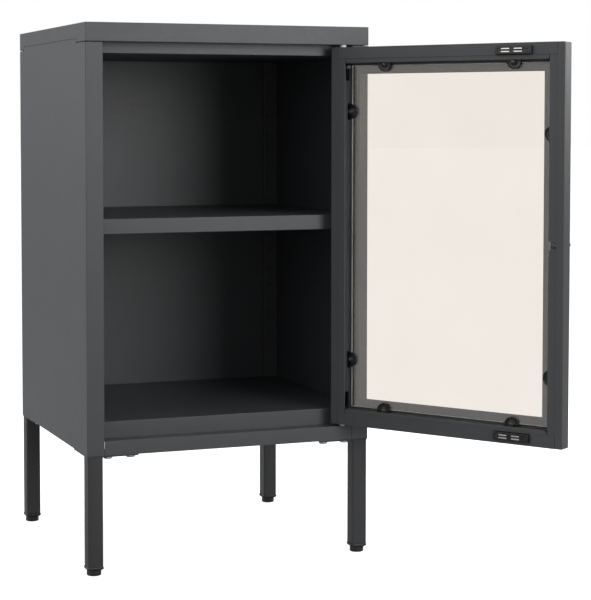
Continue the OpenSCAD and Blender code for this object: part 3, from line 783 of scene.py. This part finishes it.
# %% [markdown]
# ## Legs, inserts and feet
# Each leg is a square tube with rounded corners, rolled and welded, so its ring is a rounded square
# outside and another inside. A black insert closes its lower end and swells out below the steel
# like a collar. The foot screws up into the insert on a thread, for levelling. A thread is a helix:
# the radius of each point swings in and out as it climbs one pitch a turn.

# %% Tubes and inserts
corner_names = ["front_left", "front_right", "rear_left", "rear_right"]
LEG_WALL = 1.2 * MM
LEG_CORNER = 2.0 * MM
BREAK = 0.15 * MM
INSERT_BORE = 4.05 * MM
PLUG_GAP = 0.2 * MM
COLLAR_DRAW = 3.4 * MM


def leg_tube(place):
    """A square tube with its cut ends just broken."""
    low, high = solids("leg_" + place)[0]
    width, length = high.x - low.x, high.z - low.z
    bore, bore_corner = width - 2 * LEG_WALL, LEG_CORNER - LEG_WALL
    rings = [
        rounded_square(width - 2 * BREAK, LEG_CORNER, 0), rounded_square(width, LEG_CORNER, BREAK),
        rounded_square(width, LEG_CORNER, length - BREAK),
        rounded_square(width - 2 * BREAK, LEG_CORNER, length),
        rounded_square(bore, bore_corner, length), rounded_square(bore, bore_corner, 0),
    ]
    seat = (underside((low, high)), UPRIGHT)
    copies("leg_tube_" + place, "leg_" + place, loft(rings, bored=True), [seat])


def insert(place):
    """The insert of a leg: a swollen collar below the tube and a plug inside it."""
    node = "socket_" + place
    low, high = solids(node)[0]
    leg_low, leg_high = solids("leg_" + place)[0]
    leg_w, swell = leg_high.x - leg_low.x, high.x - low.x
    collar_h = leg_low.z - low.z
    plug = leg_w - 2 * LEG_WALL - PLUG_GAP
    below, above = swell - COLLAR_DRAW, leg_w + PLUG_GAP
    rings = [circle(INSERT_BORE, 0), rounded_square(below - 1 * MM, 5 * MM, 0)]
    for step in range(9):
        rise = step / 8
        bulge = math.sin(math.radians(25 + 130 * rise)) ** 0.7
        ends = below + (above - below) * rise
        width = ends + (swell - ends) * (bulge - 0.55) / 0.45 if bulge > 0.55 else ends
        rings.append(rounded_square(width, (5 - 2 * rise) * MM, (0.3 + 4.6 * rise) * MM))
    rings += [
        rounded_square(leg_w - 0.4 * MM, 2 * MM, collar_h),
        rounded_square(plug, 1 * MM, collar_h),
        rounded_square(plug, 1 * MM, high.z - low.z - 1 * MM),
        rounded_square(plug - 1.6 * MM, 1 * MM, high.z - low.z),
        circle(INSERT_BORE, high.z - low.z),
    ]
    seat = (underside((low, high)), UPRIGHT)
    copies("leg_insert_" + place, node, loft(rings, bored=True), [seat])
    return swell


for place in corner_names:
    leg_tube(place)
    print(f"{place}: insert {insert(place) / MM:.1f} mm wide")

# %% Threaded feet
THREAD_PITCH = 1.25 * MM
THREAD_DEPTH = 0.7 * MM
THREAD_CUTS = 6
TREAD = 1.6 * MM
GROOVE = 0.35 * MM
FOOT_TOP = 6.7 * MM
TOP_ROUND = 0.9 * MM
STEM_R = 3.95 * MM


def thread_rings(radius, start, end, steps):
    """Rings of a threaded rod. Each point's radius follows a helix up the rod."""
    count = int((end - start) / THREAD_PITCH * THREAD_CUTS)
    rings = []
    for level in range(count + 1):
        height = start + (end - start) * level / count
        ring = circle(radius, height, steps)
        for step, point in enumerate(ring):
            phase = (height / THREAD_PITCH - step / steps) % 1
            share = 1 - THREAD_DEPTH / radius * abs(2 * phase - 1)
            point.x *= share
            point.y *= share
        rings.append(ring)
    return rings


def foot(place):
    """A round foot with a rounded tread, a grip groove and a threaded stem."""
    node = "foot_" + place
    low, high = solids(node)[0]
    radius = (high.x - low.x) / 2
    outline = [(0.5 * MM, 0.25 * MM), (radius - 3.2 * MM, 0.25 * MM), (radius - 2.8 * MM, 0)]
    outline += arc(radius - TREAD, TREAD, TREAD, -90, 0, 6)
    outline += [(radius, 3.3 * MM), (radius - GROOVE, 3.6 * MM), (radius - GROOVE, 3.9 * MM)]
    outline += [(radius, 4.2 * MM)]
    outline += arc(radius - TOP_ROUND, FOOT_TOP - TOP_ROUND, TOP_ROUND, 0, 90, 5)
    outline += [(STEM_R, FOOT_TOP)]
    rings = [circle(r, z) for r, z in outline]
    rings += thread_rings(STEM_R, FOOT_TOP, high.z - 0.8 * MM, 48)
    rings.append(circle(2.9 * MM, high.z))
    seat = (underside((low, high)), UPRIGHT)
    copies("levelling_" + node, node, loft(rings), [seat])
    return radius


for place in corner_names:
    print(f"{place}: foot {2 * foot(place) / MM:.1f} mm across")

# %% [markdown]
# ## Glass and its clips
# The pane is float glass, cut to size. Its edge is ground flat, with a small chamfer to each face.
# That ground band shows as a pale line inside the frame. Eight dished clips press the pane against
# the door's face. Each is a moulded disc with a raised ring and a boss round its screw.

# %% Pane with a ground edge
def glass_pane():
    """A clear pane whose cut edge and chamfers are ground."""
    low, high = solids("glass_pane")[0]
    chamfer = 0.6 * MM
    rings = []
    levels = ((low.y, chamfer), (low.y + chamfer, 0), (high.y - chamfer, 0), (high.y, chamfer))
    for y, inset in levels:
        x0, x1, z0, z1 = low.x + inset, high.x - inset, low.z + inset, high.z - inset
        rings.append([Vector(p) for p in ((x0, y, z0), (x1, y, z0), (x1, y, z1), (x0, y, z1))])
    work = loft(rings)
    for face in work.faces:
        face.material_index = 0 if abs(face.normal.y) > 0.99 else 1
    piece = make_piece("glass_sheet", work, "glass_pane", ground_edge)
    piece.data.shade_flat()
    return high - low


pane = glass_pane()
print(f"pane {pane.x / MM:.0f} by {pane.z / MM:.0f} by {pane.y / MM:.0f} mm")

# %% Clips
clip_boxes = solids("glass_clips")
clip_low, clip_high = clip_boxes[0]
clip_r = (clip_high.x - clip_low.x) / 2
clip_t = clip_high.y - clip_low.y
CLIP_FLOOR = 1.2 * MM
BOSS = 4.2 * MM
CLIP_BORE = 1.3 * MM
clip_outline = [(CLIP_BORE, 0), (clip_r - 0.5 * MM, 0)]
clip_outline += arc(clip_r - 0.4 * MM, 0.4 * MM, 0.4 * MM, -90, 0, 3)
clip_outline += [(clip_r, CLIP_FLOOR)]
clip_outline += arc(clip_r - 0.7 * MM, clip_t - 0.6 * MM, 0.6 * MM, 0, 180, 7)
clip_outline += arc(clip_r - 2.4 * MM, CLIP_FLOOR + 0.4 * MM, 0.4 * MM, 0, -90, 3)
clip_outline += arc(BOSS + 0.4 * MM, CLIP_FLOOR + 0.4 * MM, 0.4 * MM, -90, -180, 3)
clip_outline += arc(BOSS - 0.3 * MM, clip_t - 0.3 * MM, 0.3 * MM, 0, 90, 3)
clip_outline += [(CLIP_BORE, clip_t)]
seats = [(Vector((middle(b).x, b[0].y, middle(b).z)), TO_REAR) for b in clip_boxes]
copies("glass_clip_discs", "glass_clips", turned(clip_outline, bored=True), seats)
print(f"{len(clip_boxes)} clips, {2 * clip_r / MM:.0f} mm across")

# %% [markdown]
# ## Knob and lower hinge pin
# The knob is turned from bar: a flat seat, a slim waist and a head that widens to a domed end. The
# lower pin is turned too, with a chamfered tip and a round head that rests on its block.

# %% Turned pieces
KNOB_WAIST = 3.2 * MM
KNOB_HEAD = 4.3 * MM
KNOB_DOME = 1.5 * MM
PIN_R = 2.0 * MM
PIN_HEAD = 2.4 * MM
knob_low, knob_high = solids("knob")[0]
knob_r = (knob_high.x - knob_low.x) / 2
knob_l = knob_high.y - knob_low.y
knob_outline = [(0.4 * MM, 0.3 * MM), (2.0 * MM, 0.3 * MM), (2.4 * MM, 0), (knob_r - 0.3 * MM, 0)]
knob_outline += arc(knob_r - 0.3 * MM, 0.3 * MM, 0.3 * MM, -90, 0, 3)
knob_outline += arc(knob_r - 0.5 * MM, 1.1 * MM, 0.5 * MM, 0, 90, 4)
knob_outline += arc(knob_r - 0.3 * MM, 2.6 * MM, 1.0 * MM, -90, -180, 4)
knob_outline += [(KNOB_WAIST, knob_l * 0.5)]
for step in range(9):
    rise = step / 8
    flare = (KNOB_HEAD - KNOB_WAIST) * (1 - math.cos(math.pi * rise)) / 2
    knob_outline.append((KNOB_WAIST + flare, knob_l * (0.55 + 0.33 * rise)))
knob_outline += arc(KNOB_HEAD - KNOB_DOME, knob_l - KNOB_DOME, KNOB_DOME, 0, 75, 6)
knob_outline += [(0.6 * MM, knob_l)]
knob_middle = middle((knob_low, knob_high))
seats = [(Vector((knob_middle.x, knob_high.y, knob_middle.z)), TO_FRONT)]
copies("door_knob", "knob", turned(knob_outline), seats)

pin_low, pin_high = solids("hinge_pin_bottom")[0]
head_r = (pin_high.x - pin_low.x) / 2
pin_l = pin_high.z - pin_low.z
head_z = pin_l - PIN_HEAD
pin_outline = [(1.2 * MM, 0), (PIN_R, 0.9 * MM), (PIN_R, head_z), (head_r - 0.3 * MM, head_z)]
pin_outline += arc(head_r - 0.3 * MM, head_z + 0.3 * MM, 0.3 * MM, -90, 0, 3)
pin_outline += arc(head_r - 0.8 * MM, pin_l - 0.8 * MM, 0.8 * MM, 0, 90, 5)
seats = [(underside((pin_low, pin_high)), UPRIGHT)]
copies("lower_hinge_pin", "hinge_pin_bottom", turned(pin_outline), seats)
print(f"knob {knob_l / MM:.0f} mm long, lower pin {pin_l / MM:.1f} mm long")

# %% [markdown]
# ## Spring under the upper pin
# The upper pin is pushed up by a small coil spring and drawn down by hand to lift the door off.
# One end of the spring goes with the pin and the other stays on its seat, so it gets shorter. A
# ring of wire is carried along a helix whose pitch closes up at both ends.

# %% Coil spring
SPRING_TURNS = 7.0
CLOSE_UP = 0.09
WIRE_R = 0.35 * MM
spring_low, spring_high = solids("pin_spring")[0]
coil_r = (spring_high.x - spring_low.x) / 2 - WIRE_R
coil_l = spring_high.z - spring_low.z - 2 * WIRE_R


def coil_rings(steps=20, sides=10):
    """Rings of wire along a helix that is flat at both ends."""
    rings, up = [], Vector((0, 0, 1))
    for step in range(int(SPRING_TURNS * steps) + 1):
        along = step / (SPRING_TURNS * steps)
        turn = math.tau * SPRING_TURNS * along
        height = coil_l * (along - CLOSE_UP * math.sin(math.tau * along)) + WIRE_R
        outward = Vector((math.cos(turn), math.sin(turn), 0))
        wire = [math.tau * side / sides for side in range(sides)]
        rings.append([
            outward * (coil_r + WIRE_R * math.cos(a)) + up * (height + WIRE_R * math.sin(a))
            for a in wire
        ])
    return rings


seat = (underside((spring_low, spring_high)), UPRIGHT)
coil = copies("upper_pin_spring", "pin_spring", loft(coil_rings()), [seat])
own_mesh(coil)

# %% [markdown]
# ## Floor
# The cabinet stands on a plain pale floor that runs past the view on all sides. A studio floor that
# looks white would also throw a lot of light up at the legs, so it is shaded where it is not seen.
# That is done here by the kind of ray that asks: the floor is pale for the eye, even behind glass,
# brighter in a mirror, and duller for light that goes on to the cabinet.

# %% Pale floor
FLOOR_SIZE = 60.0
FLOOR_DULL = 0.30
FLOOR_PALE = 0.45
GLOW_DIRECT = 0.79
GLOW_BEHIND_GLASS = 1.0
GLOW_MIRRORED = 1.45


def join_values(tree, operation, first, second):
    """One sum, product or other result of two values in a node tree."""
    joined = tree.nodes.new("ShaderNodeMath")
    joined.operation = operation
    for socket, value in zip(joined.inputs, (first, second)):
        if isinstance(value, bpy.types.NodeSocket):
            tree.links.new(value, socket)
        else:
            socket.default_value = value
    return joined.outputs["Value"]


def by_ray(tree, other, **levels):
    """A value that depends on the ray: a level for each kind that is named, or the other one."""
    rays = tree.nodes.new("ShaderNodeLightPath").outputs
    kinds = {
        "direct": rays["Is Camera Ray"],
        "behind_glass": rays["Is Transmission Ray"],
        "mirrored": join_values(
            tree, "MULTIPLY", rays["Is Singular Ray"], rays["Is Reflection Ray"]
        ),
    }
    total = other
    for kind, level in levels.items():
        share = join_values(tree, "MULTIPLY", kinds[kind], level - other)
        total = join_values(tree, "ADD", total, share)
    return total


half = FLOOR_SIZE / 2
floor_mesh = bpy.data.meshes.new("studio_floor")
floor_mesh.from_pydata(
    [(-half, -half, 0), (half, -half, 0), (half, half, 0), (-half, half, 0)], [], [(0, 1, 2, 3)]
)
studio_floor = bpy.data.objects.new("studio_floor", floor_mesh)
bpy.context.scene.collection.objects.link(studio_floor)
pale = new_finish("pale_floor", {"Roughness": 0.7, "IOR": 1.2, "Emission Color": (1, 1, 1, 1)})
floor_tree = pale.node_tree
floor_shader = floor_tree.nodes["Principled BSDF"].inputs
floor_shade = by_ray(floor_tree, FLOOR_DULL, direct=FLOOR_PALE, behind_glass=0.0)
floor_glow = by_ray(
    floor_tree, 0.0, direct=GLOW_DIRECT, behind_glass=GLOW_BEHIND_GLASS, mirrored=GLOW_MIRRORED
)
floor_tree.links.new(floor_shade, floor_shader["Base Color"])
floor_tree.links.new(floor_glow, floor_shader["Emission Strength"])
floor_mesh.materials.append(pale)
print(f"floor {FLOOR_SIZE:.0f} m wide")

# %% [markdown]
# ## Sky and lamps
# A soft sky lights the cabinet from all sides. It is a sum of five broad lobes, one towards each
# side and one overhead, so each side's level is one number. The left is the brightest, as beside a
# large white wall, and gives the side panel and the open door their tone. Three softboxes add the
# slow gradients that show satin paint.

# %% Sky in five lobes
SKY_LOBES = {"-X": 1.50, "+X": 0.12, "-Y": 0.32, "+Y": 0.27, "+Z": 0.97}
SKY_SEEN = 1.0
sky = bpy.data.worlds.new("white_sky")
bpy.context.scene.world = sky
sky.use_nodes = True
sky_tree = sky.node_tree
direction = sky_tree.nodes.new("ShaderNodeTexCoord")
split = sky_tree.nodes.new("ShaderNodeSeparateXYZ")
sky_tree.links.new(direction.outputs["Generated"], split.inputs["Vector"])
glow = by_ray(sky_tree, 0.0, direct=SKY_SEEN, behind_glass=SKY_SEEN)
lobes = 0.0
for side, level in SKY_LOBES.items():
    towards = join_values(sky_tree, "MULTIPLY", split.outputs[side[1]], float(side[0] + "1"))
    lobe = join_values(sky_tree, "POWER", join_values(sky_tree, "MAXIMUM", towards, 0.0), 2.0)
    lobes = join_values(sky_tree, "ADD", lobes, join_values(sky_tree, "MULTIPLY", lobe, level))
background = sky_tree.nodes["Background"].inputs
background["Color"].default_value = (1, 1, 1, 1)
sky_tree.links.new(join_values(sky_tree, "MAXIMUM", lobes, glow), background["Strength"])
print(f"{len(SKY_LOBES)} sky lobes")


# %% Softboxes
def softbox(name, place, target, side, power):
    """A large square lamp that looks at a point. Its power is in watts."""
    lamp = bpy.data.lights.new(name, "AREA")
    lamp.shape = "RECTANGLE"
    lamp.size, lamp.size_y, lamp.energy = side, side, power
    thing = bpy.data.objects.new(name, lamp)
    bpy.context.scene.collection.objects.link(thing)
    thing.location = place
    thing.rotation_euler = (Vector(target) - Vector(place)).to_track_quat("-Z", "Y").to_euler()


softbox("front_softbox", (0.95, -2.35, 1.05), target=(0, 0, 0.45), side=1.3, power=29)
softbox("edge_softbox", (2.4, 0.6, 1.5), target=(0.3, -0.3, 0.5), side=1.5, power=92)
softbox("back_softbox", (-2.6, 1.6, 1.4), target=(0, 0, 0.5), side=2.4, power=38)

# %% [markdown]
# ## Camera
# The cabinet is seen from the front left, from just below its top, through a long lens. The camera
# looks slightly down, and a small lens shift brings the feet into the frame while the uprights stay
# nearly parallel.

# %% Place the camera
LOOKS_DOWN = 3.0
TURNED_RIGHT = 20.798
camera_data = bpy.data.cameras.new("camera")
camera = bpy.data.objects.new("camera", camera_data)
bpy.context.scene.collection.objects.link(camera)
camera.location = (-0.7834, -2.3699, 0.5787)
camera.rotation_euler = (math.radians(90 - LOOKS_DOWN), 0, math.radians(-TURNED_RIGHT))
camera_data.sensor_width = 36
camera_data.lens = 108.473
camera_data.shift_x = 0.0478
camera_data.shift_y = -0.1435
bpy.context.scene.camera = camera
bpy.context.scene.view_settings.view_transform = "Standard"
print(f"camera {camera.location.length:.2f} m from the cabinet's foot")
